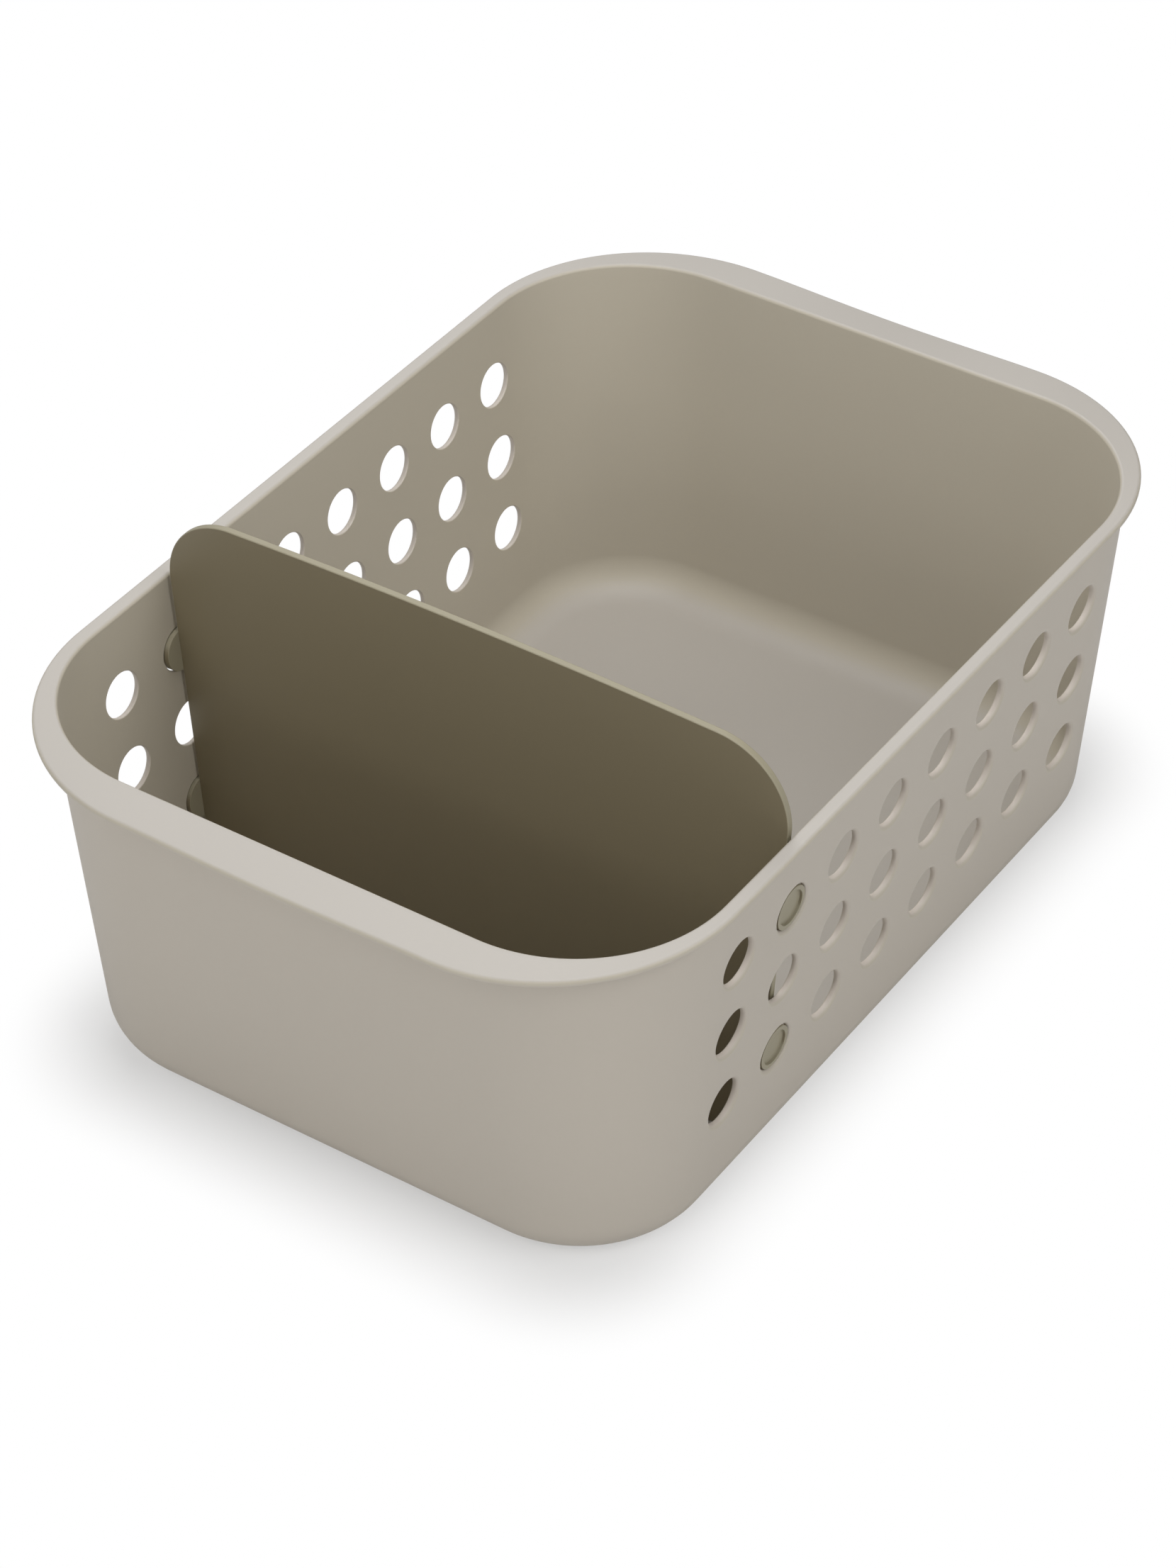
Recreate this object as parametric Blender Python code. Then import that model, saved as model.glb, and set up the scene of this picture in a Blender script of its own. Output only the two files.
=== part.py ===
"""Moulded storage basket with a pegged divider, in metres, +Z up.

The origin is on the table, under the middle of the basket. X runs across the basket
and Y along it, with the front at -Y. The basket is one moulding, a drafted tub with
rounded corners, a flat rim that widens into a grip at each end, and a square grid of
round holes in both long walls. The divider is a second moulding, a thin plate whose
four round pegs sit in the holes of one column.
"""

import math

import bmesh
import bpy
from mathutils import Matrix, Vector

# Basket, outside: the outer edge of a grip droops, and sags a little more in its middle
RIM_LENGTH = 0.3026
RIM_WIDTH = 0.2070
HEIGHT = 0.1123
RIM_CORNER = 0.0560
RIM_THICKNESS = 0.0022
RIM_EDGE = 0.0010
GRIP_DROOP = 0.0010
GRIP_SAG = 0.0008
BASE_FILLET = 0.0119

# Basket, inside: the rim is as wide as these two at the sides and at the ends
SIDE_RIM = 0.00445
END_GRIP = 0.01275
MOUTH_CORNER = 0.0440
MOUTH_EDGE = 0.0010
FLOOR_CORNER = 0.0352
FLOOR_FILLET = 0.0105
SIDE_DRAFT = math.radians(4.50)
END_DRAFT = math.radians(4.60)

# Basket, material thickness
WALL = 0.0020
FLOOR = 0.0022

# Holes, as many columns and rows as the flat part of a long wall has room for
HOLE_DIAMETER = 0.0135
HOLE_PITCH = 0.0250
HOLE_EDGE = 0.0009
TOP_ROW_DROP = 0.0245
FLAT_LENGTH = RIM_LENGTH - 2 * END_GRIP - 2 * MOUTH_CORNER
FLAT_DEPTH = HEIGHT - TOP_ROW_DROP - HOLE_DIAMETER / 2 - FLOOR_FILLET - FLOOR
HOLE_COLUMNS = 1 + int(FLAT_LENGTH / HOLE_PITCH)
HOLE_ROWS = 1 + int(FLAT_DEPTH / HOLE_PITCH)
CUT_OVERRUN = 0.0010
WELD = 0.00001

# Divider, which stands on the floor with its pegs in one column of holes
DIVIDER_COLUMN = 2
DIVIDER_PEG_ROWS = (1, HOLE_ROWS)
DIVIDER_THICKNESS = 0.0021
DIVIDER_RISE = 0.0235
DIVIDER_CROWN = 0.0014
DIVIDER_TOP_CORNER = 0.0225
DIVIDER_FOOT_CORNER = 0.0135
DIVIDER_FOOT_GAP = 0.0004
DIVIDER_HEAD_GAP = 0.0012
DIVIDER_FLOOR_GAP = 0.0003
DIVIDER_EDGE = 0.0004
PEG_CLEARANCE = 0.00065
PEG_END_SETBACK = 0.0006
PEG_SEAT = 0.0002
PEG_RING = 0.0009
PEG_DISH = 0.0006
PEG_EDGE = 0.0003

# How finely the round forms are divided
CORNER_STEPS = 12
GRIP_STEPS = 6
FILLET_STEPS = 5
EDGE_STEPS = 3
HOLE_STEPS = 20
HOLE_EDGE_STEPS = 2
PEG_STEPS = 28
CROWN_STEPS = 12
SMOOTH_ANGLE = math.radians(40.0)

# Colours of the two mouldings
BASKET_COLOUR = (0.50, 0.46, 0.41, 1.0)
DIVIDER_COLOUR = (0.26, 0.23, 0.155, 1.0)
BASKET_ROUGHNESS = 0.52
DIVIDER_ROUGHNESS = 0.48


def clear_scene():
    """Remove every object of the opened scene."""
    for thing in list(bpy.data.objects):
        bpy.data.objects.remove(thing, do_unlink=True)


def plastic(name, colour, roughness):
    """A plain moulded plastic."""
    material = bpy.data.materials.new(name)
    material.use_nodes = True
    shader = material.node_tree.nodes["Principled BSDF"]
    shader.inputs["Base Color"].default_value = colour
    shader.inputs["Roughness"].default_value = roughness
    shader.inputs["Metallic"].default_value = 0.0
    return material


def add_object(name, bm, material=None):
    """Turn a bmesh into an object of the scene."""
    bmesh.ops.recalc_face_normals(bm, faces=bm.faces)
    mesh = bpy.data.meshes.new(name)
    bm.to_mesh(mesh)
    bm.free()
    if material:
        mesh.materials.append(material)
    thing = bpy.data.objects.new(name, mesh)
    bpy.context.scene.collection.objects.link(thing)
    return thing


def shade(thing):
    """Smooth faces, with the real corners kept sharp."""
    thing.data.shade_smooth()
    thing.data.set_sharp_from_angle(angle=SMOOTH_ANGLE)


def add_boolean(thing, tool, operation):
    """Cut with, or join, a helper object that is itself not part of the model."""
    tool.hide_render = True
    tool.display_type = "WIRE"
    modifier = thing.modifiers.new(tool.name, "BOOLEAN")
    modifier.operation = operation
    modifier.solver = "EXACT"
    modifier.object = tool


def quarter(steps, start=0):
    """Angles from start to a right angle, both in even steps."""
    return [math.radians(90.0) * step / steps for step in range(start, steps + 1)]


def inner_half(height):
    """Half width, half length and corner radius of the inside at a height."""
    depth = HEIGHT - height
    half_x = RIM_WIDTH / 2 - SIDE_RIM - depth * math.tan(SIDE_DRAFT)
    half_y = RIM_LENGTH / 2 - END_GRIP - depth * math.tan(END_DRAFT)
    corner = MOUTH_CORNER - (MOUTH_CORNER - FLOOR_CORNER) * depth / (HEIGHT - FLOOR)
    return half_x, half_y, corner


def rounded_ring(half_x, half_y, corner, height, droop=0.0, sag=0.0):
    """Points round a rectangle with round corners, whose ends lie lower by droop and sag."""
    run = half_x - corner
    points = []
    for turn in range(4):
        side_x = 1 if turn in (0, 3) else -1
        side_y = 1 if turn in (0, 1) else -1
        middle = Vector((side_x * run, side_y * (half_y - corner), height))
        for angle in quarter(CORNER_STEPS):
            heading = angle + math.radians(90.0) * turn
            spoke = Vector((math.cos(heading), math.sin(heading), 0.0))
            points.append(middle + corner * spoke - Vector((0.0, 0.0, droop * spoke.y * spoke.y)))
        if turn in (0, 2):
            for step in range(1, GRIP_STEPS):
                across = 1.0 - 2.0 * step / GRIP_STEPS
                drop = droop + sag * (1.0 - across * across) ** 2
                points.append(Vector((side_x * run * across, side_y * half_y, height - drop)))
    return points


def wall_ring(height, outset):
    """A ring that follows the inside of the tub, moved out or in by outset."""
    half_x, half_y, corner = inner_half(height)
    return rounded_ring(half_x + outset, half_y + outset, corner + outset, height)


def rim_ring(inset, drop):
    """A ring that follows the outer edge of the rim and its drooping grips."""
    half_x = RIM_WIDTH / 2 - inset
    half_y = RIM_LENGTH / 2 - inset
    return rounded_ring(half_x, half_y, RIM_CORNER - inset, HEIGHT - drop, GRIP_DROOP, GRIP_SAG)


def bottom_rings(bottom, radius, outset):
    """Rings of the fillet between a flat bottom and the wall, from the bottom up."""
    rings = []
    for angle in quarter(FILLET_STEPS):
        height = bottom + radius * (1.0 - math.cos(angle))
        rings.append(wall_ring(height, outset - radius * (1.0 - math.sin(angle))))
    return rings


def tub_rings():
    """Every ring of the moulding, from the middle of the floor over the rim to the base."""
    rings = bottom_rings(FLOOR, FLOOR_FILLET, 0.0)
    for angle in quarter(EDGE_STEPS):
        height = HEIGHT - MOUTH_EDGE * (1.0 - math.sin(angle))
        rings.append(wall_ring(height, MOUTH_EDGE * (1.0 - math.cos(angle))))
    for angle in quarter(EDGE_STEPS):
        rings.append(rim_ring(RIM_EDGE * (1.0 - math.sin(angle)), RIM_EDGE * (1.0 - math.cos(angle))))
    for angle in quarter(EDGE_STEPS):
        lift = RIM_EDGE * (1.0 - math.sin(angle))
        rings.append(rim_ring(RIM_EDGE * (1.0 - math.cos(angle)), RIM_THICKNESS - lift))
    rings.append(wall_ring(HEIGHT - RIM_THICKNESS, WALL))
    rings.extend(reversed(bottom_rings(0.0, BASE_FILLET, WALL)))
    return rings


def loft(bm, rings):
    """Skin a list of rings and cap the first and the last."""
    ring_edges = []
    for ring in rings:
        verts = [bm.verts.new(point) for point in ring]
        following = verts[1:] + verts[:1]
        ring_edges.append([bm.edges.new(pair) for pair in zip(verts, following)])
    for near, far in zip(ring_edges, ring_edges[1:]):
        bmesh.ops.bridge_loops(bm, edges=near + far)
    for end in (ring_edges[0], ring_edges[-1]):
        bmesh.ops.contextual_create(bm, geom=end)


def lathe(profile, steps):
    """A mesh turned from a half section of (radius, height) points that ends on the axis."""
    bm = bmesh.new()
    verts = [bm.verts.new((radius, 0.0, height)) for radius, height in profile]
    edges = [bm.edges.new(pair) for pair in zip(verts, verts[1:])]
    bmesh.ops.spin(
        bm, geom=verts + edges, axis=(0.0, 0.0, 1.0), cent=(0.0, 0.0, 0.0),
        angle=math.radians(360.0), steps=steps, use_merge=True)
    bmesh.ops.remove_doubles(bm, verts=bm.verts, dist=WELD)
    mesh = bpy.data.meshes.new("turned")
    bm.to_mesh(mesh)
    bm.free()
    return mesh


def add_copies(bm, pattern, places):
    """Put one mesh into a bmesh at each place."""
    for place in places:
        copy = pattern.copy()
        copy.transform(place)
        bm.from_mesh(copy)
        bpy.data.meshes.remove(copy)


def row_height(row):
    """Height of the middle of a row of holes, counted from the top."""
    return HEIGHT - TOP_ROW_DROP - (row - 1) * HOLE_PITCH


def hole_place(side, column, row):
    """Where a hole meets the outer face of a long wall, with +Z pointing out of it."""
    height = row_height(row)
    along = (column - (HOLE_COLUMNS + 1) / 2) * HOLE_PITCH
    across = side * (inner_half(height)[0] + WALL)
    tilt = side * math.radians(90.0) + side * SIDE_DRAFT
    return Matrix.Translation((across, along, height)) @ Matrix.Rotation(tilt, 4, "Y")


def hole_profile():
    """Half section of one hole: a plain bore with a rounded outer edge."""
    radius = HOLE_DIAMETER / 2
    points = [(0.0, -WALL - CUT_OVERRUN), (radius, -WALL - CUT_OVERRUN)]
    for angle in quarter(HOLE_EDGE_STEPS):
        points.append((radius + HOLE_EDGE * (1.0 - math.cos(angle)), HOLE_EDGE * (math.sin(angle) - 1.0)))
    (near_radius, near_height), (last_radius, last_height) = points[-2:]
    slope = (last_radius - near_radius) / (last_height - near_height)
    points[-1] = (last_radius + slope * CUT_OVERRUN, last_height + CUT_OVERRUN)
    points.append((0.0, last_height + CUT_OVERRUN))
    return points


def make_basket():
    """The tub with its rim and its two walls of holes."""
    bm = bmesh.new()
    loft(bm, tub_rings())
    basket = add_object("basket", bm, plastic("basket_plastic", BASKET_COLOUR, BASKET_ROUGHNESS))
    shade(basket)

    places = [
        hole_place(side, column, row)
        for side in (-1, 1)
        for column in range(1, HOLE_COLUMNS + 1)
        for row in range(1, HOLE_ROWS + 1)
    ]
    cutters = bmesh.new()
    add_copies(cutters, lathe(hole_profile(), HOLE_STEPS), places)
    add_boolean(basket, add_object("hole_cutters", cutters), "DIFFERENCE")


def corner_arc(before, corner, after, radius, steps):
    """Points of the arc that rounds one corner of an outline."""
    to_before = (before - corner).normalized()
    to_after = (after - corner).normalized()
    half_angle = to_before.angle(to_after) / 2
    middle = corner + (to_before + to_after).normalized() * (radius / math.sin(half_angle))
    start = corner + to_before * (radius / math.tan(half_angle)) - middle
    end = corner + to_after * (radius / math.tan(half_angle)) - middle
    sweep = start.angle(end)
    points = []
    for step in range(steps + 1):
        part = step / steps
        spoke = start * math.sin((1.0 - part) * sweep) + end * math.sin(part * sweep)
        points.append(middle + spoke / math.sin(sweep))
    return points


def divider_gap(height):
    """Gap between the divider and a long wall, which widens from the foot to the rim's height."""
    return DIVIDER_FOOT_GAP + (DIVIDER_HEAD_GAP - DIVIDER_FOOT_GAP) * height / HEIGHT


def divider_half(height):
    """Half the width of the divider at a height, from the wall and the gap beside it."""
    return inner_half(height)[0] - divider_gap(height)


def divider_outline():
    """The plate seen from the front, anticlockwise from its lower right corner."""
    foot = FLOOR + DIVIDER_FLOOR_GAP
    head = HEIGHT + DIVIDER_RISE
    corners = [
        (Vector((divider_half(foot), 0.0, foot)), DIVIDER_FOOT_CORNER),
        (Vector((divider_half(head), 0.0, head)), DIVIDER_TOP_CORNER),
        (Vector((-divider_half(head), 0.0, head)), DIVIDER_TOP_CORNER),
        (Vector((-divider_half(foot), 0.0, foot)), DIVIDER_FOOT_CORNER),
    ]
    points = []
    for index, (corner, radius) in enumerate(corners):
        before = corners[index - 1][0]
        after = corners[(index + 1) % len(corners)][0]
        points.extend(corner_arc(before, corner, after, radius, CORNER_STEPS))
        if index == 1:
            points.extend(crown_points(points[-1]))
    return points


def crown_points(start):
    """The slightly arched top edge, from the right corner towards the left one."""
    points = []
    for step in range(1, CROWN_STEPS):
        across = 1.0 - 2.0 * step / CROWN_STEPS
        rise = DIVIDER_CROWN * (1.0 - across * across)
        points.append(Vector((start.x * across, 0.0, start.z + rise)))
    return points


def peg_profile(row):
    """Half section of a peg on the outer wall's face: a disc with a dished end."""
    radius = HOLE_DIAMETER / 2 - PEG_CLEARANCE
    end = -PEG_END_SETBACK
    root = -WALL - divider_gap(row_height(row)) - PEG_SEAT
    dish = radius - PEG_RING
    return [
        (0.0, end - PEG_DISH),
        (dish - PEG_EDGE, end - PEG_DISH),
        (dish, end - PEG_EDGE),
        (dish + PEG_EDGE, end),
        (radius - PEG_EDGE, end),
        (radius, end - PEG_EDGE),
        (radius, root + PEG_EDGE),
        (radius - PEG_EDGE, root),
        (0.0, root),
    ]


def make_divider():
    """The plate and its four pegs, one moulding that lifts straight up from its column."""
    bm = bmesh.new()
    front = [bm.verts.new(point) for point in divider_outline()]
    face = bm.faces.new(front)
    back = bmesh.ops.extrude_face_region(bm, geom=[face])
    moved = [item for item in back["geom"] if isinstance(item, bmesh.types.BMVert)]
    bmesh.ops.translate(bm, vec=(0.0, DIVIDER_THICKNESS, 0.0), verts=moved)
    bmesh.ops.translate(bm, vec=(0.0, -DIVIDER_THICKNESS / 2, 0.0), verts=bm.verts)
    divider = add_object("divider", bm, plastic("divider_plastic", DIVIDER_COLOUR, DIVIDER_ROUGHNESS))
    divider.location.y = (DIVIDER_COLUMN - (HOLE_COLUMNS + 1) / 2) * HOLE_PITCH

    rounding = divider.modifiers.new("rounded_edge", "BEVEL")
    rounding.width = DIVIDER_EDGE
    rounding.segments = 2
    rounding.limit_method = "ANGLE"
    rounding.angle_limit = SMOOTH_ANGLE

    bm = bmesh.new()
    for row in DIVIDER_PEG_ROWS:
        places = [hole_place(side, DIVIDER_COLUMN, row) for side in (-1, 1)]
        add_copies(bm, lathe(peg_profile(row), PEG_STEPS), places)
    pegs = add_object("divider_pegs", bm)
    pegs.parent = divider
    pegs.location = -divider.location
    add_boolean(divider, pegs, "UNION")
    shade(divider)


def main():
    clear_scene()
    make_basket()
    make_divider()


main()
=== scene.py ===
"""Looks of the storage basket and its lift-out divider, in metres, +Z up, front at -Y.

Both mouldings are modelled again here with finer round forms, in the places where the
frame has them, and get their moulded finishes. The stage is a white floor under soft light.
"""

import math

import bmesh
import bpy
from mathutils import Matrix, Vector


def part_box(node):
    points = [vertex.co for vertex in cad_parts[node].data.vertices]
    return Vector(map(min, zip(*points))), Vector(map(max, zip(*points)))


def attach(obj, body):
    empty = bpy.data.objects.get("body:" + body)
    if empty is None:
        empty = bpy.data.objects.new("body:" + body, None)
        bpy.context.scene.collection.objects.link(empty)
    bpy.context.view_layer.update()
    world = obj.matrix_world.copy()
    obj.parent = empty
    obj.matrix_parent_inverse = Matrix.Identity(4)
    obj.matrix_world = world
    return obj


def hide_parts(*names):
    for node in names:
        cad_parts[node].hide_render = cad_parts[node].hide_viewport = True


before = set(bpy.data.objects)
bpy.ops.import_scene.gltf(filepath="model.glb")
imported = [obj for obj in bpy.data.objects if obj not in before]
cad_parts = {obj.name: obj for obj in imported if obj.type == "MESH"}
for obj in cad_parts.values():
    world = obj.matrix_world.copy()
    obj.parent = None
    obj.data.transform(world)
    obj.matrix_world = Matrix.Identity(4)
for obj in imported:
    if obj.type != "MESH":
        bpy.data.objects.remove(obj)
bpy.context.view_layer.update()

MM = 0.001

# Sizes that the frame gives
basket_low, basket_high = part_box("basket")
divider_low, divider_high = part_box("divider")
RIM_LENGTH = basket_high.y - basket_low.y
RIM_WIDTH = basket_high.x - basket_low.x
HEIGHT = basket_high.z - basket_low.z
DIVIDER_FOOT = divider_low.z
DIVIDER_HEAD = divider_high.z
DIVIDER_MIDDLE = (divider_low.y + divider_high.y) / 2

# Basket: the outer edge of a grip droops, and sags a little more in its middle
RIM_CORNER = 56.0 * MM
RIM_THICKNESS = 2.2 * MM
RIM_EDGE = 1.0 * MM
GRIP_DROOP = 1.0 * MM
GRIP_SAG = 0.8 * MM
BASE_FILLET = 11.9 * MM
SIDE_RIM = 4.45 * MM
END_GRIP = 12.75 * MM
MOUTH_CORNER = 44.0 * MM
MOUTH_EDGE = 1.0 * MM
FLOOR_CORNER = 35.2 * MM
FLOOR_FILLET = 10.5 * MM
SIDE_DRAFT = math.radians(4.50)
END_DRAFT = math.radians(4.60)
WALL = 2.0 * MM
FLOOR = 2.2 * MM

# Holes, as many columns and rows as the flat part of a long wall has room for
HOLE_DIAMETER = 13.5 * MM
HOLE_PITCH = 25.0 * MM
HOLE_EDGE = 1.2 * MM
HOLE_INNER_EDGE = 0.4 * MM
TOP_ROW_DROP = 24.5 * MM
FLAT_LENGTH = RIM_LENGTH - 2 * END_GRIP - 2 * MOUTH_CORNER
FLAT_DEPTH = HEIGHT - TOP_ROW_DROP - HOLE_DIAMETER / 2 - FLOOR_FILLET - FLOOR
HOLE_COLUMNS = 1 + int(FLAT_LENGTH / HOLE_PITCH)
HOLE_ROWS = 1 + int(FLAT_DEPTH / HOLE_PITCH)
CUT_OVERRUN = 0.05 * MM

# Divider, which has its pegs in one column of holes
DIVIDER_COLUMN = 2
DIVIDER_PEG_ROWS = (1, HOLE_ROWS)
DIVIDER_THICKNESS = 2.1 * MM
DIVIDER_CROWN = 1.4 * MM
DIVIDER_TOP_CORNER = 22.5 * MM
DIVIDER_FOOT_CORNER = 13.5 * MM
DIVIDER_FOOT_GAP = 0.4 * MM
DIVIDER_HEAD_GAP = 1.2 * MM
DIVIDER_EDGE = 0.4 * MM
PEG_CLEARANCE = 0.35 * MM
PEG_END_SETBACK = 0.3 * MM
PEG_SEAT = 0.2 * MM
PEG_RING = 1.3 * MM
PEG_DISH = 0.8 * MM
PEG_EDGE = 0.12 * MM

# How finely the round forms are divided
CORNER_SEGMENTS = 32
GRIP_SEGMENTS = 24
FILLET_STEPS = 12
EDGE_STEPS = 6
HOLE_SEGMENTS = 64
HOLE_EDGE_STEPS = 5
PEG_EDGE_STEPS = 3
CROWN_SEGMENTS = 24
PLATE_EDGE_SEGMENTS = 4
WELD = 0.01 * MM
FINE_WELD = WELD / 10
SHARP_ANGLE = math.radians(38.0)
FLAT_FACE_WEIGHT = 100

# The two long sides, and directions in a section, as across and up
SIDES = (-1, 1)
IN = (-1.0, 0.0)
OUT = (1.0, 0.0)
UP = (0.0, 1.0)
DOWN = (0.0, -1.0)

# Camera, as the photograph was taken
CAMERA_PLACE = (0.5626, -0.8364, 0.8677)
CAMERA_TURN = tuple(math.radians(angle) for angle in (50.663, 0.370, 33.871))
CAMERA_LENS = 107.77
CAMERA_SHIFT = (-0.0010, -0.0009)

# Lamps: one small and overhead, three large and high, three low, in metres and watts
OVERHEAD_HEIGHT = 0.6
OVERHEAD_SIZE = 0.3
OVERHEAD_POWER = 1.45
HIGH_REACH = 1.4
HIGH_CORNER_REACH = 1.1
HIGH_HEIGHT = 1.2
HIGH_SIZE = 1.2
HIGH_FRONT_POWER = 8.5
HIGH_RIGHT_POWER = 9.6
HIGH_BACK_LEFT_POWER = 9.0
LOW_REACH = 1.6
LOW_HEIGHT = 0.45
LOW_SIZE = 0.9
LOW_FRONT_POWER = 4.0
LOW_RIGHT_POWER = 2.7
LOW_LEFT_POWER = 3.1
ROOM_LIGHT = 0.10

# Floor: its shadow is lightened, and fades out between two distances from a core under the basket
WHITE = (1.0, 1.0, 1.0, 1.0)
FLOOR_COLOUR = (0.85, 0.85, 0.85, 1.0)
FLOOR_ROUGHNESS = 0.9
FLOOR_REACH = 6.0
SHADOW_CORE = 40.0 * MM
SHADOW_START = 14.0 * MM
SHADOW_END = 53.0 * MM
SHADOW_LIFT = 0.40

# Colours of the two plastics, some of them copies with painted light and shade, and the bands of
# facing in which one changes to the next
BASKET_COLOUR = (0.51, 0.465, 0.40, 1.0)
# Painted warm bounce light: faces that point up, as the inner walls do, get this warmer copy of the
# plastic's colour
BASKET_INSIDE_BOUNCE_TINT = (0.51, 0.467, 0.382, 1.0)
# Painted sheen: faces that point well up, as the rim and floor do, get this greyer copy of the
# plastic's colour
BASKET_TOP_SHEEN_TINT = (0.493, 0.462, 0.420, 1.0)
# Painted light: faces in the holes that turn away from the wall get this lighter copy of the
# plastic's colour
BASKET_HOLE_LIGHT_TINT = (0.59, 0.532, 0.468, 1.0)
DIVIDER_EDGE_COLOUR = (0.3175, 0.287, 0.2015, 1.0)
# Painted shade: the divider's front and back faces get this darker copy of its colour
DIVIDER_FACE_SHADE_COLOUR = (0.219, 0.1845, 0.115, 1.0)
BOUNCE_TINT_BAND = (-0.05, 0.05)
SHEEN_TINT_BAND = (0.6, 1.0)
HOLE_LIGHT_BAND = (0.0, 0.6)
FACE_SHADE_BAND = (0.8, 1.0)

# Names of the numbers that the meshes keep for their faces
POINTS_UP = "points_up"
POINTS_BACK = "points_back"
TURNS_IN = "turns_in"

# Moulded finish: broad soft clouds, fine speckles and a finer grain
PLASTIC_ROUGHNESS = 0.5
CLOUD_SCALE = 14.0
CLOUD_DETAIL = 3.0
CLOUD_TONE = 0.04
CLOUD_ROUGHNESS = 0.06
SPECKLE_SCALE = 900.0
SPECKLE_DETAIL = 2.0
SPECKLE_TONE = 0.02
SPECKLE_ROUGHNESS = 0.05
DARKEST_TONE = 0.97
GRAIN_SCALE = 2600.0
GRAIN_DETAIL = 2.0
GRAIN_STRENGTH = 0.10
GRAIN_DEPTH = 0.05 * MM


def new_object(name, bm):
    """Turn a bmesh into an object whose place is in its mesh."""
    mesh = bpy.data.meshes.new(name)
    bm.to_mesh(mesh)
    bm.free()
    thing = bpy.data.objects.new(name, mesh)
    bpy.context.scene.collection.objects.link(thing)
    return thing


def quarter(steps):
    """Angles from zero to a right angle in even steps."""
    return [math.radians(90.0) * step / steps for step in range(steps + 1)]


def rounded(corner, before, after, edge, steps):
    """Points of a section that round a corner, from the side before it to the side after it."""
    points = []
    for angle in quarter(steps):
        back = edge * (1.0 - math.sin(angle))
        on = edge * (1.0 - math.cos(angle))
        across = corner[0] + before[0] * back + after[0] * on
        up = corner[1] + before[1] * back + after[1] * on
        points.append((across, up))
    return points


def inner_half(height):
    """Half width, half length and corner radius of the inside at a height."""
    depth = HEIGHT - height
    half_x = RIM_WIDTH / 2 - SIDE_RIM - depth * math.tan(SIDE_DRAFT)
    half_y = RIM_LENGTH / 2 - END_GRIP - depth * math.tan(END_DRAFT)
    corner = MOUTH_CORNER - (MOUTH_CORNER - FLOOR_CORNER) * depth / (HEIGHT - FLOOR)
    return half_x, half_y, corner


def ring(bm, half_x, half_y, corner, height, droop=0.0, sag=0.0):
    """Edges of a rectangle with rounded corners, whose ends lie lower by droop and sag."""
    places = [(half_x, half_y), (-half_x, half_y), (-half_x, -half_y), (half_x, -half_y)]
    verts = [bm.verts.new((x, y, height)) for x, y in places]
    bm.faces.new(verts)
    bevelled = bmesh.ops.bevel(
        bm, geom=verts, offset=corner, offset_type="OFFSET", affect="VERTICES",
        segments=CORNER_SEGMENTS, profile=0.5, material=-1)
    face = bevelled["verts"][0].link_faces[0]
    edges = list(face.edges)
    bmesh.ops.delete(bm, geom=[face], context="FACES_ONLY")
    ends = [edge for edge in edges if all(abs(vert.co.y) > half_y - WELD for vert in edge.verts)]
    split = bmesh.ops.subdivide_edges(bm, edges=ends, cuts=GRIP_SEGMENTS - 1)
    edges = [edge for edge in edges if edge not in ends]
    edges += [item for item in split["geom_split"] if isinstance(item, bmesh.types.BMEdge)]
    for vert in {vert for edge in edges for vert in edge.verts}:
        round_share = max(0.0, abs(vert.co.y) - half_y + corner) / corner
        across = min(1.0, abs(vert.co.x) / (half_x - corner))
        vert.co.z -= droop * round_share ** 2 + sag * (1.0 - across ** 2) ** 2
    return edges


def wall_ring(bm, outset, height):
    """A ring that follows the inside of the tub, moved by outset."""
    half_x, half_y, corner = inner_half(height)
    return ring(bm, half_x + outset, half_y + outset, corner + outset, height)


def rim_ring(bm, outset, height):
    """A ring that follows the outer edge of the rim with its drooping grips, moved by outset."""
    half_x = RIM_WIDTH / 2 + outset
    half_y = RIM_LENGTH / 2 + outset
    return ring(bm, half_x, half_y, RIM_CORNER + outset, height, GRIP_DROOP, GRIP_SAG)


def tub_rings(bm):
    """Every ring of the moulding, from the floor over the rim to the base."""
    under_rim = HEIGHT - RIM_THICKNESS
    inside = rounded((0.0, FLOOR), IN, UP, FLOOR_FILLET, FILLET_STEPS)
    inside += rounded((0.0, HEIGHT), DOWN, OUT, MOUTH_EDGE, EDGE_STEPS)
    rim = rounded((0.0, HEIGHT), IN, DOWN, RIM_EDGE, EDGE_STEPS)
    rim += rounded((0.0, under_rim), UP, IN, RIM_EDGE, EDGE_STEPS)
    outside = [(WALL, under_rim)]
    outside += rounded((WALL, 0.0), UP, IN, BASE_FILLET, FILLET_STEPS)
    rings = [wall_ring(bm, outset, height) for outset, height in inside]
    rings += [rim_ring(bm, outset, height) for outset, height in rim]
    rings += [wall_ring(bm, outset, height) for outset, height in outside]
    return rings


def row_height(row):
    """Height of the middle of a row of holes, counted from the top."""
    return HEIGHT - TOP_ROW_DROP - (row - 1) * HOLE_PITCH


def split_walls(bm):
    """Edge loops between the rows and columns of holes, so that each hole has its own patch."""
    cuts = []
    for column in range(HOLE_COLUMNS + 1):
        along = (column - HOLE_COLUMNS / 2) * HOLE_PITCH
        cuts.append(((0.0, along, 0.0), (0.0, 1.0, 0.0)))
    for row in range(HOLE_ROWS + 1):
        cuts.append(((0.0, 0.0, row_height(row + 0.5)), (0.0, 0.0, 1.0)))
    for point, normal in cuts:
        everything = bm.verts[:] + bm.edges[:] + bm.faces[:]
        bmesh.ops.bisect_plane(bm, geom=everything, dist=WELD, plane_co=point, plane_no=normal)


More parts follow.
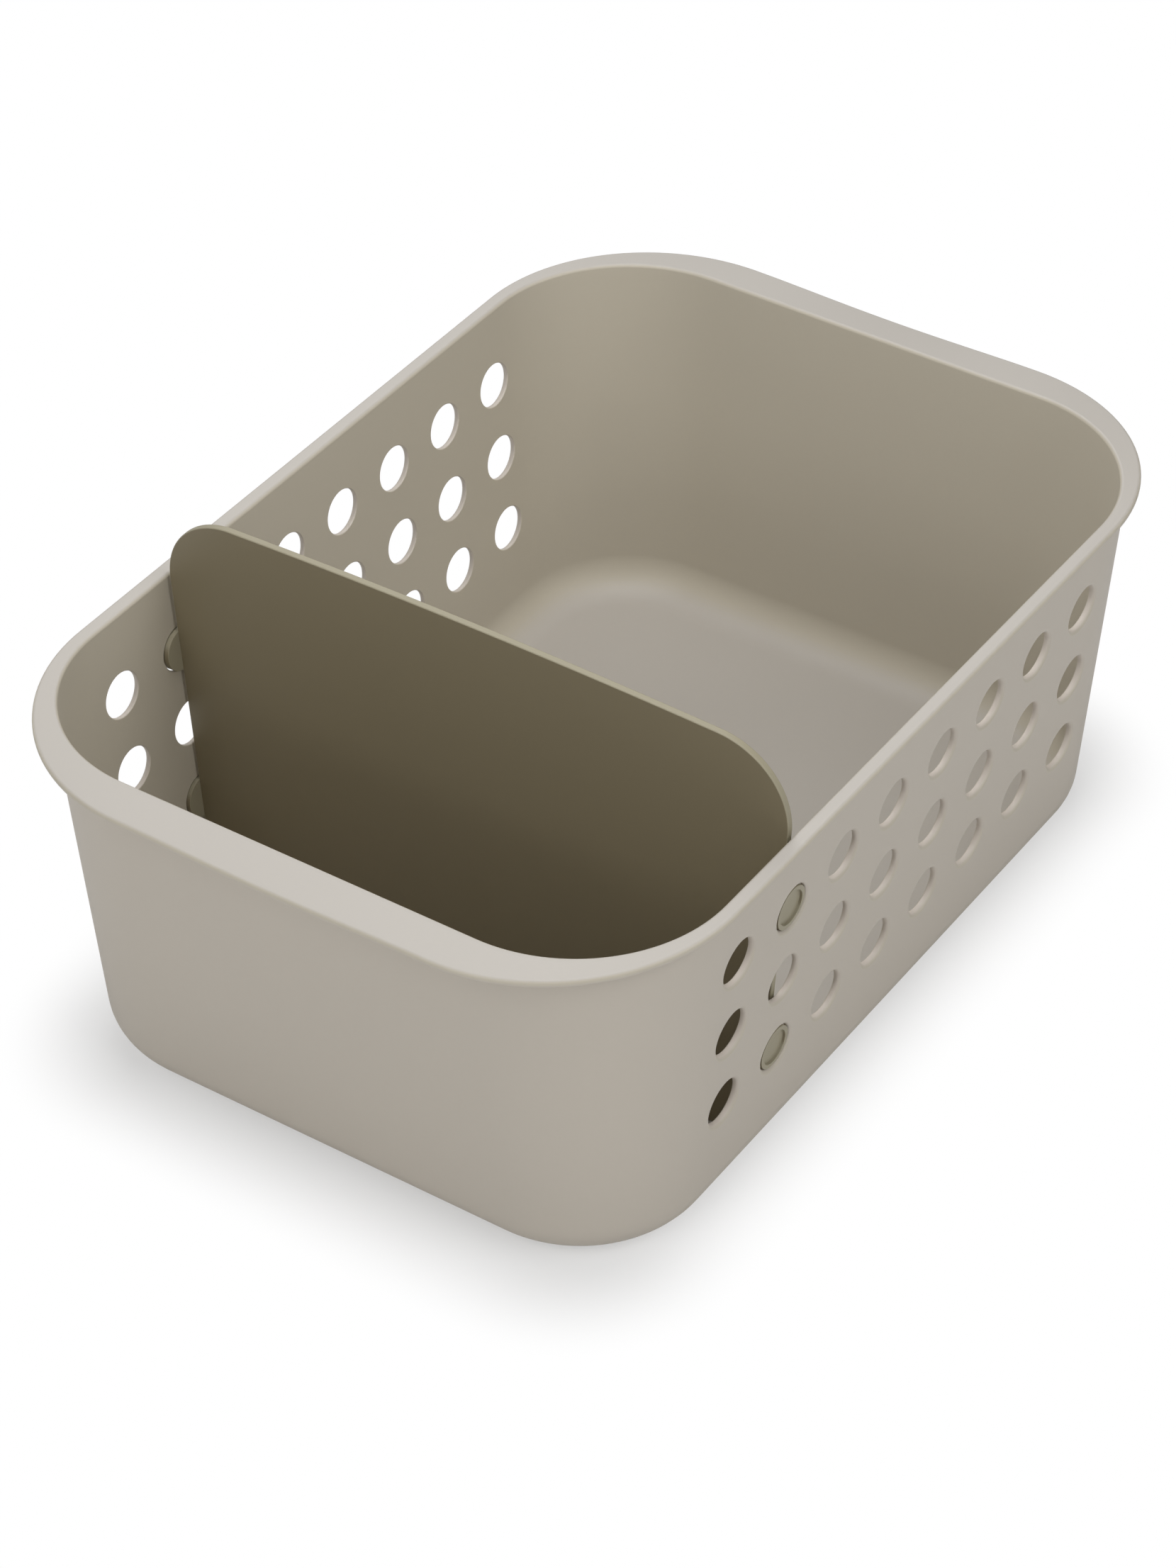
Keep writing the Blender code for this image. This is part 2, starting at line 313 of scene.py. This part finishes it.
def turned(profile):
    """A mesh turned from a half section of (radius, height) points that ends on the axis."""
    bm = bmesh.new()
    verts = [bm.verts.new((radius, 0.0, height)) for radius, height in profile]
    edges = [bm.edges.new(pair) for pair in zip(verts, verts[1:])]
    bmesh.ops.spin(
        bm, geom=verts + edges, axis=(0.0, 0.0, 1.0), cent=(0.0, 0.0, 0.0),
        angle=math.radians(360.0), steps=HOLE_SEGMENTS, use_merge=True)
    bmesh.ops.remove_doubles(bm, verts=bm.verts, dist=FINE_WELD)
    bmesh.ops.recalc_face_normals(bm, faces=bm.faces)
    mesh = bpy.data.meshes.new("turned")
    bm.to_mesh(mesh)
    bm.free()
    return mesh


def add_copies(bm, pattern, places):
    """Put one mesh into a bmesh at each place."""
    for place in places:
        copy = pattern.copy()
        copy.transform(place)
        bm.from_mesh(copy)
        bpy.data.meshes.remove(copy)


def hole_place(side, column, row):
    """Where a hole meets the outer face of a long wall, with +Z pointing out of it."""
    height = row_height(row)
    along = (column - (HOLE_COLUMNS + 1) / 2) * HOLE_PITCH
    across = side * (inner_half(height)[0] + WALL)
    tilt = side * (math.radians(90.0) + SIDE_DRAFT)
    return Matrix.Translation((across, along, height)) @ Matrix.Rotation(tilt, 4, "Y")


def rounded_mouth(radius, edge, surface, outward):
    """Points of a rounded edge where a bore meets a surface, the last one just past the surface."""
    inward = (0.0, -outward)
    points = rounded((radius, surface), inward, OUT, edge, HOLE_EDGE_STEPS)
    (near_radius, near_height), (last_radius, last_height) = points[-2:]
    slope = (last_radius - near_radius) / abs(last_height - near_height)
    points[-1] = (last_radius + slope * CUT_OVERRUN, surface + outward * CUT_OVERRUN)
    return points


def hole_profile():
    """Half section of one hole, rounded a little inside and well outside."""
    radius = HOLE_DIAMETER / 2
    inside = rounded_mouth(radius, HOLE_INNER_EDGE, -WALL, -1)
    outside = rounded_mouth(radius, HOLE_EDGE, 0.0, 1)
    points = inside[::-1] + outside
    return [(0.0, points[0][1])] + points + [(0.0, points[-1][1])]


def apply_boolean(thing, tool, operation):
    """Cut with, or join, a helper object, and leave only the result."""
    modifier = thing.modifiers.new("shape", "BOOLEAN")
    modifier.operation = operation
    modifier.solver = "EXACT"
    modifier.object = tool
    graph = bpy.context.evaluated_depsgraph_get()
    result = bpy.data.meshes.new_from_object(thing.evaluated_get(graph))
    thing.modifiers.clear()
    thing.data = result
    bpy.data.objects.remove(tool)


def finish_shading(thing):
    """Smooth faces whose normals the large flat faces rule."""
    thing.data.shade_smooth()
    thing.data.set_sharp_from_angle(angle=SHARP_ANGLE)
    weighted = thing.modifiers.new("flat_faces_rule", "WEIGHTED_NORMAL")
    weighted.keep_sharp = True
    weighted.weight = FLAT_FACE_WEIGHT


def mark_faces(piece, name, measure):
    """Keep a number for each face in the mesh, under a name that the material reads."""
    attribute = piece.data.attributes.new(name, "FLOAT", "FACE")
    for polygon in piece.data.polygons:
        attribute.data[polygon.index].value = measure(polygon)


def points_up(polygon):
    """How far a face points up, from -1 to 1."""
    return polygon.normal.z


def points_back(polygon):
    """How far a face points to the back, from -1 to 1."""
    return polygon.normal.y


def turns_in(polygon):
    """How far a face among the holes turns away from its long wall, and 0 for all others."""
    beside = abs(polygon.center.y) < HOLE_COLUMNS * HOLE_PITCH / 2
    level = row_height(HOLE_ROWS + 0.5) < polygon.center.z < row_height(0.5)
    return 1.0 - abs(polygon.normal.x) if beside and level else 0.0


def tub():
    """The tub with its rim, still without holes."""
    bm = bmesh.new()
    rings = tub_rings(bm)
    for near, far in zip(rings, rings[1:]):
        bmesh.ops.bridge_loops(bm, edges=near + far)
    for end in (rings[0], rings[-1]):
        bmesh.ops.contextual_create(bm, geom=end)
    split_walls(bm)
    bmesh.ops.recalc_face_normals(bm, faces=bm.faces)
    return bm


def hole_cutters():
    """One cutter for every hole of the two long walls."""
    places = [
        hole_place(side, column, row)
        for side in SIDES
        for column in range(1, HOLE_COLUMNS + 1)
        for row in range(1, HOLE_ROWS + 1)
    ]
    bm = bmesh.new()
    add_copies(bm, turned(hole_profile()), places)
    return bm


def make_basket():
    """The tub with its rim and its two walls of holes."""
    basket = new_object("basket_moulding", tub())
    apply_boolean(basket, new_object("hole_cutters", hole_cutters()), "DIFFERENCE")
    finish_shading(basket)
    mark_faces(basket, POINTS_UP, points_up)
    mark_faces(basket, TURNS_IN, turns_in)
    return basket


def divider_gap(height):
    """Gap between the divider and a long wall, which widens from the foot to the rim's height."""
    return DIVIDER_FOOT_GAP + (DIVIDER_HEAD_GAP - DIVIDER_FOOT_GAP) * height / HEIGHT


def divider_half(height):
    """Half the width of the divider at a height, from the wall and the gap beside it."""
    return inner_half(height)[0] - divider_gap(height)


def round_corners(bm, verts, radius):
    """Round some corners of a flat face to a radius."""
    first = verts[0]
    arms = [edge.other_vert(first).co - first.co for edge in first.link_edges]
    reach = radius / math.tan(arms[0].angle(arms[1]) / 2)
    bmesh.ops.bevel(
        bm, geom=verts, offset=reach, offset_type="OFFSET", affect="VERTICES",
        segments=CORNER_SEGMENTS, profile=0.5, material=-1)


def arch_top(bm, top):
    """Raise the top edge of the plate to a slight arch."""
    level = [edge for edge in bm.edges if all(abs(vert.co.z - top) < WELD for vert in edge.verts)]
    edge = max(level, key=bmesh.types.BMEdge.calc_length)
    half = edge.calc_length() / 2
    bmesh.ops.subdivide_edges(bm, edges=[edge], cuts=CROWN_SEGMENTS - 1)
    for vert in bm.verts:
        if abs(vert.co.z - top) < WELD and abs(vert.co.x) < half - WELD:
            share = vert.co.x / half
            vert.co.z += DIVIDER_CROWN * (1.0 - share * share)


def divider_plate():
    """The arched plate with its edges lightly rounded."""
    top = DIVIDER_HEAD - DIVIDER_CROWN
    bm = bmesh.new()
    foot = [bm.verts.new((side * divider_half(DIVIDER_FOOT), 0.0, DIVIDER_FOOT)) for side in SIDES]
    head = [bm.verts.new((-side * divider_half(top), 0.0, top)) for side in SIDES]
    bm.faces.new(foot + head)
    round_corners(bm, head, DIVIDER_TOP_CORNER)
    foot = [vert for vert in bm.verts if abs(vert.co.z - DIVIDER_FOOT) < WELD]
    round_corners(bm, foot, DIVIDER_FOOT_CORNER)
    arch_top(bm, top)
    back = bmesh.ops.extrude_face_region(bm, geom=bm.faces[:])
    moved = [item for item in back["geom"] if isinstance(item, bmesh.types.BMVert)]
    bmesh.ops.translate(bm, vec=(0.0, DIVIDER_THICKNESS, 0.0), verts=moved)
    front = DIVIDER_MIDDLE - DIVIDER_THICKNESS / 2
    bmesh.ops.translate(bm, vec=(0.0, front, 0.0), verts=bm.verts)
    bmesh.ops.recalc_face_normals(bm, faces=bm.faces)
    corners = [edge for edge in bm.edges if edge.calc_face_angle() > SHARP_ANGLE]
    bmesh.ops.bevel(
        bm, geom=corners, offset=DIVIDER_EDGE, offset_type="OFFSET", affect="EDGES",
        segments=PLATE_EDGE_SEGMENTS, profile=0.5, material=-1)
    return bm


def peg_profile(row):
    """Half section of a peg, from its root in the plate to its dished end near the outer face."""
    radius = HOLE_DIAMETER / 2 - PEG_CLEARANCE
    root = -WALL - divider_gap(row_height(row)) - PEG_SEAT
    end = -PEG_END_SETBACK
    dish = radius - PEG_RING
    dish_floor = end - PEG_DISH
    points = [(0.0, root)]
    points += rounded((radius, root), IN, UP, PEG_EDGE, PEG_EDGE_STEPS)
    points += rounded((radius, end), DOWN, IN, PEG_EDGE, PEG_EDGE_STEPS)
    points += rounded((dish, end), OUT, DOWN, PEG_EDGE, PEG_EDGE_STEPS)
    points += rounded((dish, dish_floor), UP, IN, PEG_EDGE, PEG_EDGE_STEPS)
    points.append((0.0, dish_floor))
    return points


def divider_pegs():
    """The pegs at both sides of the plate, in their column of holes."""
    bm = bmesh.new()
    for row in DIVIDER_PEG_ROWS:
        places = [hole_place(side, DIVIDER_COLUMN, row) for side in SIDES]
        add_copies(bm, turned(peg_profile(row)), places)
    return bm


def make_divider():
    """The plate and its four pegs, one moulding."""
    divider = new_object("divider_moulding", divider_plate())
    apply_boolean(divider, new_object("pegs", divider_pegs()), "UNION")
    finish_shading(divider)
    mark_faces(divider, POINTS_BACK, points_back)
    return divider


class Value:
    """A socket of a node tree, with arithmetic on its number that adds Math nodes."""

    def __init__(self, nodes, socket):
        self.nodes = nodes
        self.socket = socket

    def _math(self, operation, *values):
        return self.nodes.add("ShaderNodeMath", {"operation": operation}, *values)

    def __add__(self, other):
        return self._math("ADD", self, other)

    def __radd__(self, other):
        return self._math("ADD", other, self)

    def __sub__(self, other):
        return self._math("SUBTRACT", self, other)

    def __rsub__(self, other):
        return self._math("SUBTRACT", other, self)

    def __mul__(self, other):
        return self._math("MULTIPLY", self, other)

    def __rmul__(self, other):
        return self._math("MULTIPLY", other, self)

    def absolute(self):
        return self._math("ABSOLUTE", self)

    def maximum(self, other):
        return self._math("MAXIMUM", self, other)

    def root(self):
        return self._math("SQRT", self)


class Nodes:
    """The node tree of one material or of the world."""

    def __init__(self, owner):
        owner.use_nodes = True
        self.tree = owner.node_tree

    def add(self, kind, settings, *values, output=0, **named):
        """One node: its settings first, then the values or links of its sockets."""
        node = self.tree.nodes.new(kind)
        for name, setting in settings.items():
            setattr(node, name, setting)
        for key, value in list(enumerate(values)) + list(named.items()):
            socket = node.inputs[key if isinstance(key, int) else key.replace("_", " ")]
            if isinstance(value, Value):
                self.tree.links.new(value.socket, socket)
            else:
                socket.default_value = value
        return Value(self, node.outputs[output])

    def noise(self, place, scale, detail):
        """Noise on the piece's own coordinates, about 0.5 on average."""
        return self.add(
            "ShaderNodeTexNoise", {}, Vector=place, Scale=scale, Detail=detail, output="Fac")

    def face_number(self, name):
        """The number that the mesh keeps for each face under a name."""
        return self.add("ShaderNodeAttribute", {"attribute_name": name}, output="Fac")

    def share(self, value, band, interpolation="SMOOTHSTEP"):
        """How far a value is through a band, from 0 to 1."""
        settings = {"interpolation_type": interpolation}
        return self.add("ShaderNodeMapRange", settings, value, band[0], band[1], 0.0, 1.0)

    def mix(self, blend, factor, first, second):
        """A colour between or of two colours."""
        settings = {"data_type": "RGBA", "blend_type": blend}
        return self.add("ShaderNodeMix", settings, Factor=factor, A=first, B=second, output="Result")

    def feed(self, name, value, node="Principled BSDF"):
        """Link a value to a socket of a node that the tree has from the start."""
        self.tree.links.new(value.socket, self.tree.nodes[node].inputs[name])


def moulded_plastic(nodes, colour):
    """A satin moulded finish with a fine even grain and a slight change of tone."""
    place = nodes.add("ShaderNodeTexCoord", {}, output="Object")
    cloud = nodes.noise(place, CLOUD_SCALE, CLOUD_DETAIL)
    speckle = nodes.noise(place, SPECKLE_SCALE, SPECKLE_DETAIL)
    grain = nodes.noise(place, GRAIN_SCALE, GRAIN_DETAIL)
    tone = DARKEST_TONE + CLOUD_TONE * cloud + SPECKLE_TONE * speckle
    grey = nodes.add("ShaderNodeCombineColor", {}, tone, tone, tone)
    nodes.feed("Base Color", nodes.mix("MULTIPLY", 1.0, colour, grey))
    uneven = CLOUD_ROUGHNESS * (cloud - 0.5) + SPECKLE_ROUGHNESS * (speckle - 0.5)
    nodes.feed("Roughness", PLASTIC_ROUGHNESS + uneven)
    bump = nodes.add(
        "ShaderNodeBump", {}, Strength=GRAIN_STRENGTH, Distance=GRAIN_DEPTH, Height=grain,
        output="Normal")
    nodes.feed("Normal", bump)


def basket_plastic():
    """Pale stone-coloured plastic, with painted warm bounce light inside, a painted sheen that makes
    the top greyer and painted light that makes the holes lighter.
    """
    material = bpy.data.materials.new("basket_plastic")
    nodes = Nodes(material)
    upward = nodes.face_number(POINTS_UP)
    # Painted warm bounce light on faces that point up, such as the inner walls
    inside = nodes.share(upward, BOUNCE_TINT_BAND, "LINEAR")
    # Painted sheen that makes faces pointing well up greyer
    top = nodes.share(upward, SHEEN_TINT_BAND)
    # Painted light that makes the faces in the holes lighter
    hole = nodes.share(nodes.face_number(TURNS_IN), HOLE_LIGHT_BAND)
    colour = nodes.mix("MIX", inside, BASKET_COLOUR, BASKET_INSIDE_BOUNCE_TINT)
    colour = nodes.mix("MIX", top, colour, BASKET_TOP_SHEEN_TINT)
    colour = nodes.mix("MIX", hole, colour, BASKET_HOLE_LIGHT_TINT)
    moulded_plastic(nodes, colour)
    return material


def divider_plastic():
    """Darker olive plastic, with painted shade that makes the divider's faces darker than its smooth
    edges and pegs.
    """
    material = bpy.data.materials.new("divider_plastic")
    nodes = Nodes(material)
    # Painted shade that makes the faces darker than the edges and pegs
    face = nodes.share(nodes.face_number(POINTS_BACK).absolute(), FACE_SHADE_BAND)
    moulded_plastic(nodes, nodes.mix("MIX", face, DIVIDER_EDGE_COLOUR, DIVIDER_FACE_SHADE_COLOUR))
    return material


def dress(piece, node, body, material):
    """Give a piece its material and its body, and hide the frame's node that it stands for."""
    piece.data.materials.clear()
    piece.data.materials.append(material)
    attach(piece, body)
    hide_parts(node)


def white_floor():
    """White paper that shows a shadow round the basket and is evenly white further off."""
    material = bpy.data.materials.new("white_floor")
    nodes = Nodes(material)
    shader = nodes.tree.nodes["Principled BSDF"]
    shader.inputs["Base Color"].default_value = FLOOR_COLOUR
    shader.inputs["Roughness"].default_value = FLOOR_ROUGHNESS
    paper = Value(nodes, shader.outputs["BSDF"])
    place = nodes.add("ShaderNodeTexCoord", {}, output="Object")
    across = nodes.add("ShaderNodeSeparateXYZ", {}, place, output="X")
    along = nodes.add("ShaderNodeSeparateXYZ", {}, place, output="Y")
    past_side = (across.absolute() - (RIM_WIDTH / 2 - SHADOW_CORE)).maximum(0.0)
    past_end = (along.absolute() - (RIM_LENGTH / 2 - SHADOW_CORE)).maximum(0.0)
    away = (past_side * past_side + past_end * past_end).root()
    white = SHADOW_LIFT + (1.0 - SHADOW_LIFT) * nodes.share(away, (SHADOW_START, SHADOW_END))
    seen = nodes.add("ShaderNodeLightPath", {}, output="Is Camera Ray")
    glow = nodes.add("ShaderNodeEmission", {}, Color=WHITE, Strength=1.0)
    mixed = nodes.add("ShaderNodeMixShader", {}, white * seen, paper, glow)
    nodes.feed("Surface", mixed, "Material Output")
    return material


def make_floor():
    """The floor that the basket stands on."""
    bm = bmesh.new()
    bmesh.ops.create_grid(bm, x_segments=1, y_segments=1, size=FLOOR_REACH)
    floor = new_object("floor", bm)
    floor.data.materials.append(white_floor())


def make_world():
    """Even faint light from all round, which the camera sees as white."""
    world = bpy.data.worlds.new("studio")
    bpy.context.scene.world = world
    nodes = Nodes(world)
    nodes.tree.nodes["Background"].inputs["Color"].default_value = WHITE
    seen = nodes.add("ShaderNodeLightPath", {}, output="Is Camera Ray")
    nodes.feed("Strength", ROOM_LIGHT + (1.0 - ROOM_LIGHT) * seen, "Background")


def add_softbox(name, place, size, power):
    """A square lamp that points at the basket."""
    data = bpy.data.lights.new(name, "AREA")
    data.shape = "SQUARE"
    data.size = size
    data.energy = power
    lamp = bpy.data.objects.new(name, data)
    bpy.context.scene.collection.objects.link(lamp)
    lamp.location = place
    aim = Vector((0.0, 0.0, HEIGHT / 2)) - lamp.location
    lamp.rotation_euler = aim.to_track_quat("-Z", "Y").to_euler()


def make_softboxes():
    """A small soft lamp overhead, and large ones round the basket at two heights."""
    overhead = (0.0, 0.0, OVERHEAD_HEIGHT)
    high_front = (0.0, -HIGH_REACH, HIGH_HEIGHT)
    high_right = (HIGH_REACH, 0.0, HIGH_HEIGHT)
    high_back_left = (-HIGH_CORNER_REACH, HIGH_CORNER_REACH, HIGH_HEIGHT)
    low_front = (0.0, -LOW_REACH, LOW_HEIGHT)
    low_right = (LOW_REACH, 0.0, LOW_HEIGHT)
    low_left = (-LOW_REACH, 0.0, LOW_HEIGHT)
    add_softbox("overhead_softbox", overhead, OVERHEAD_SIZE, OVERHEAD_POWER)
    add_softbox("high_front_softbox", high_front, HIGH_SIZE, HIGH_FRONT_POWER)
    add_softbox("high_right_softbox", high_right, HIGH_SIZE, HIGH_RIGHT_POWER)
    add_softbox("high_back_left_softbox", high_back_left, HIGH_SIZE, HIGH_BACK_LEFT_POWER)
    add_softbox("low_front_softbox", low_front, LOW_SIZE, LOW_FRONT_POWER)
    add_softbox("low_right_softbox", low_right, LOW_SIZE, LOW_RIGHT_POWER)
    add_softbox("low_left_softbox", low_left, LOW_SIZE, LOW_LEFT_POWER)


def make_camera():
    """The camera at the photograph's place."""
    data = bpy.data.cameras.new("camera")
    data.lens = CAMERA_LENS
    data.shift_x, data.shift_y = CAMERA_SHIFT
    camera = bpy.data.objects.new("camera", data)
    bpy.context.scene.collection.objects.link(camera)
    camera.location = CAMERA_PLACE
    camera.rotation_euler = CAMERA_TURN
    bpy.context.scene.camera = camera


basket = make_basket()
divider = make_divider()
dress(basket, "basket", "basket", basket_plastic())
dress(divider, "divider", "divider", divider_plastic())
make_floor()
make_world()
make_softboxes()
make_camera()
bpy.context.scene.view_settings.view_transform = "Standard"
